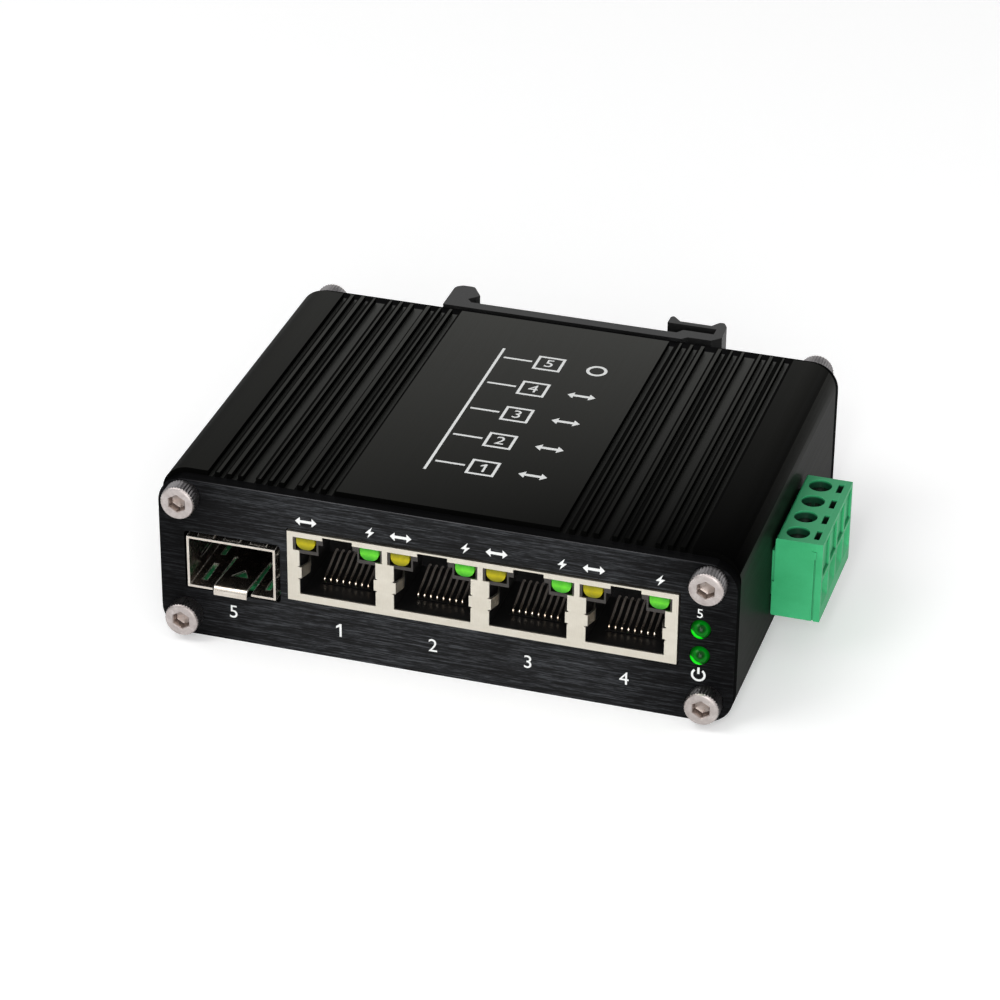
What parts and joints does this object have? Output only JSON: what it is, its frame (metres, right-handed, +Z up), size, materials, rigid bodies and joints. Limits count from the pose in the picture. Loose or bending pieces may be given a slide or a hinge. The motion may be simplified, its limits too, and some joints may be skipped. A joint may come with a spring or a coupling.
{
  "type": "din rail ethernet switch",
  "caption": "Flat ribbed metal network switch with modular jacks, a fibre module bay, status lights and a pull-out power terminal, held on a rail by a rear clip.",
  "frame": {"origin": "centre of the flat underside of the housing, lying down, halfway between the two end plates", "axes": "+Z up through the ribbed roof; -Y out of the port side, +Y towards the rail clip; +X towards the power terminal"},
  "size_m": [0.0999, 0.0781, 0.0286],
  "materials": {
    "amber_lens": "clear tinted lens",
    "black_anodised": "black anodised, fine matt",
    "black_plastic": "moulded, matt",
    "board_green": "solder mask",
    "brushed_black": "black anodised, brushed along its length",
    "can_metal": "bare can, satin",
    "chip_black": "moulded compound, matt",
    "ferrite": "sintered, matt",
    "gold_contact": "gold flash",
    "green_lens": "clear tinted lens",
    "green_plastic": "moulded, matt green",
    "plated_steel": "zinc plated",
    "stainless": "bright stainless, turned",
    "tinned_sheet": "tinned sheet, satin"
  },
  "bodies": {
    "switch": {"bulk_capacitor_1": "can_metal", "bulk_capacitor_2": "can_metal", "clip_screws": "stainless", "crystal": "can_metal", "din_clip": "black_plastic", "feed_light_1": "green_lens", "feed_light_2": "green_lens", "feed_light_3": "green_lens", "feed_light_4": "green_lens", "fibre_light": "green_lens", "flash_memory": "chip_black", "front_panel": "brushed_black", "front_screws": "stainless", "header_pins": "plated_steel", "jack_housing": "black_plastic", "jack_shield": "tinned_sheet", "light_holder": "black_plastic", "link_light_1": "amber_lens", "link_light_2": "amber_lens", "link_light_3": "amber_lens", "link_light_4": "amber_lens", "lower_shell": "black_anodised", "main_board": "board_green", "module_cage": "tinned_sheet", "module_connector": "black_plastic", "module_contacts": "gold_contact", "port_contacts_1": "gold_contact", "port_contacts_2": "gold_contact", "port_contacts_3": "gold_contact", "port_contacts_4": "gold_contact", "power_controller": "chip_black", "power_inductor": "ferrite", "power_light": "green_lens", "rear_panel": "brushed_black", "rear_screws": "stainless", "switch_chip": "chip_black", "terminal_header": "green_plastic", "transformer_1": "chip_black", "transformer_2": "chip_black", "upper_shell": "black_anodised"},
    "power_plug": {"plug_body": "green_plastic", "plug_cover": "green_plastic", "plug_screws": "plated_steel", "plug_clamps": "plated_steel", "plug_contacts": "plated_steel"}
  },
  "joints": [
    {"name": "power_plug_slide", "type": "slide", "parent": "switch", "child": "power_plug", "axis": [1, 0, 0], "range_m": [0, 0.012]}
  ]
}
